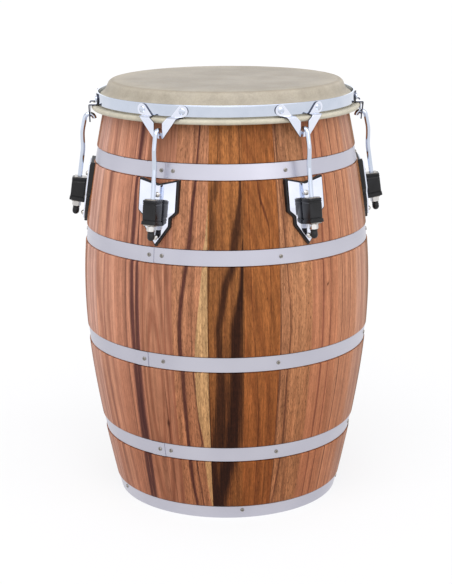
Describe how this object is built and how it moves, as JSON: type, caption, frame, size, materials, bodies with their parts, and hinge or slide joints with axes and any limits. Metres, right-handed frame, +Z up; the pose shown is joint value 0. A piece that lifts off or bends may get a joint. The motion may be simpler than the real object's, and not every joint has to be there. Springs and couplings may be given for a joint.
{
  "type": "bomba drum",
  "caption": "Barrel hand drum of wood staves with flat metal bands, a rawhide skin, a flat rim and hooked tuning rods in rubber sleeved lugs.",
  "frame": {"origin": "centre of the foot, on the surface that the drum stands on", "axes": "+Z up along the barrel's axis, -Y towards the side seen in the picture, +X to its right"},
  "size_m": [0.5344, 0.4872, 0.711],
  "materials": {
    "stave_wood": "satin lacquer over striped warm brown staves",
    "band_steel": "satin",
    "chrome": "polished",
    "plain_steel": "plain",
    "rawhide": "dry, matt",
    "black_rubber": "matt"
  },
  "bodies": {
    "barrel": {"shell": "stave_wood", "foot_band": "band_steel", "band_1": "band_steel", "band_2": "band_steel", "band_3": "band_steel", "band_4": "band_steel", "side_plate_1": "chrome", "side_plate_2": "chrome", "side_plate_3": "chrome", "side_plate_4": "chrome", "side_plate_5": "chrome", "side_plate_6": "chrome", "plate_gasket_1": "black_rubber", "plate_gasket_2": "black_rubber", "plate_gasket_3": "black_rubber", "plate_gasket_4": "black_rubber", "plate_gasket_5": "black_rubber", "plate_gasket_6": "black_rubber", "lug_core_1": "plain_steel", "lug_core_2": "plain_steel", "lug_core_3": "plain_steel", "lug_core_4": "plain_steel", "lug_core_5": "plain_steel", "lug_core_6": "plain_steel", "lug_sleeve_1": "black_rubber", "lug_sleeve_2": "black_rubber", "lug_sleeve_3": "black_rubber", "lug_sleeve_4": "black_rubber", "lug_sleeve_5": "black_rubber", "lug_sleeve_6": "black_rubber"},
    "head": {"rim": "chrome", "skin": "rawhide", "flesh_hoop": "plain_steel", "rim_bracket_1": "chrome", "rim_bracket_2": "chrome", "rim_bracket_3": "chrome", "rim_bracket_4": "chrome", "rim_bracket_5": "chrome", "rim_bracket_6": "chrome"},
    "hook_1": {"tuning_hook_1": "chrome"},
    "hook_2": {"tuning_hook_2": "chrome"},
    "hook_3": {"tuning_hook_3": "chrome"},
    "hook_4": {"tuning_hook_4": "chrome"},
    "hook_5": {"tuning_hook_5": "chrome"},
    "hook_6": {"tuning_hook_6": "chrome"},
    "nut_1": {"hook_nut_1": "plain_steel", "nut_cap_1": "black_rubber"},
    "nut_2": {"hook_nut_2": "plain_steel", "nut_cap_2": "black_rubber"},
    "nut_3": {"hook_nut_3": "plain_steel", "nut_cap_3": "black_rubber"},
    "nut_4": {"hook_nut_4": "plain_steel", "nut_cap_4": "black_rubber"},
    "nut_5": {"hook_nut_5": "plain_steel", "nut_cap_5": "black_rubber"},
    "nut_6": {"hook_nut_6": "plain_steel", "nut_cap_6": "black_rubber"}
  },
  "joints": [
    {"name": "rim_lift", "type": "slide", "parent": "barrel", "child": "head", "axis": [0, 0, 1], "range_m": [0, 0.01]},
    {"name": "hook_slide_1", "type": "slide", "parent": "barrel", "child": "hook_1", "axis": [-0.0783, 0.1229, 0.9893], "range_m": [0, 0.0102]},
    {"name": "hook_slide_2", "type": "slide", "parent": "barrel", "child": "hook_2", "axis": [-0.1456, -0.0064, 0.9893], "range_m": [0, 0.0102]},
    {"name": "hook_slide_3", "type": "slide", "parent": "barrel", "child": "hook_3", "axis": [-0.0673, -0.1292, 0.9893], "range_m": [0, 0.0102]},
    {"name": "hook_slide_4", "type": "slide", "parent": "barrel", "child": "hook_4", "axis": [0.0783, -0.1229, 0.9893], "range_m": [0, 0.0102]},
    {"name": "hook_slide_5", "type": "slide", "parent": "barrel", "child": "hook_5", "axis": [0.1456, 0.0064, 0.9893], "range_m": [0, 0.0102]},
    {"name": "hook_slide_6", "type": "slide", "parent": "barrel", "child": "hook_6", "axis": [0.0673, 0.1292, 0.9893], "range_m": [0, 0.0102]},
    {"name": "nut_turn_1", "type": "hinge", "parent": "barrel", "child": "nut_1", "pos_m": [0.13491, -0.21176, 0.52697], "axis": [-0.0783, 0.1229, 0.9893], "range_deg": [-2930, 0]},
    {"name": "nut_turn_2", "type": "hinge", "parent": "barrel", "child": "nut_2", "pos_m": [0.25084, 0.01095, 0.52697], "axis": [-0.1456, -0.0064, 0.9893], "range_deg": [-2930, 0]},
    {"name": "nut_turn_3", "type": "hinge", "parent": "barrel", "child": "nut_3", "pos_m": [0.11594, 0.22271, 0.52697], "axis": [-0.0673, -0.1292, 0.9893], "range_deg": [-2930, 0]},
    {"name": "nut_turn_4", "type": "hinge", "parent": "barrel", "child": "nut_4", "pos_m": [-0.13491, 0.21176, 0.52697], "axis": [0.0783, -0.1229, 0.9893], "range_deg": [-2930, 0]},
    {"name": "nut_turn_5", "type": "hinge", "parent": "barrel", "child": "nut_5", "pos_m": [-0.25084, -0.01095, 0.52697], "axis": [0.1456, 0.0064, 0.9893], "range_deg": [-2930, 0]},
    {"name": "nut_turn_6", "type": "hinge", "parent": "barrel", "child": "nut_6", "pos_m": [-0.11594, -0.22271, 0.52697], "axis": [0.0673, 0.1292, 0.9893], "range_deg": [-2930, 0]}
  ],
  "couplings": [
    {"joint": "hook_slide_1", "follows": "rim_lift", "ratio": 1.0108},
    {"joint": "hook_slide_2", "follows": "rim_lift", "ratio": 1.0108},
    {"joint": "hook_slide_3", "follows": "rim_lift", "ratio": 1.0108},
    {"joint": "hook_slide_4", "follows": "rim_lift", "ratio": 1.0108},
    {"joint": "hook_slide_5", "follows": "rim_lift", "ratio": 1.0108},
    {"joint": "hook_slide_6", "follows": "rim_lift", "ratio": 1.0108},
    {"joint": "nut_turn_1", "follows": "rim_lift", "rad_per_m": -5080.8},
    {"joint": "nut_turn_2", "follows": "rim_lift", "rad_per_m": -5080.8},
    {"joint": "nut_turn_3", "follows": "rim_lift", "rad_per_m": -5080.8},
    {"joint": "nut_turn_4", "follows": "rim_lift", "rad_per_m": -5080.8},
    {"joint": "nut_turn_5", "follows": "rim_lift", "rad_per_m": -5080.8},
    {"joint": "nut_turn_6", "follows": "rim_lift", "rad_per_m": -5080.8}
  ]
}
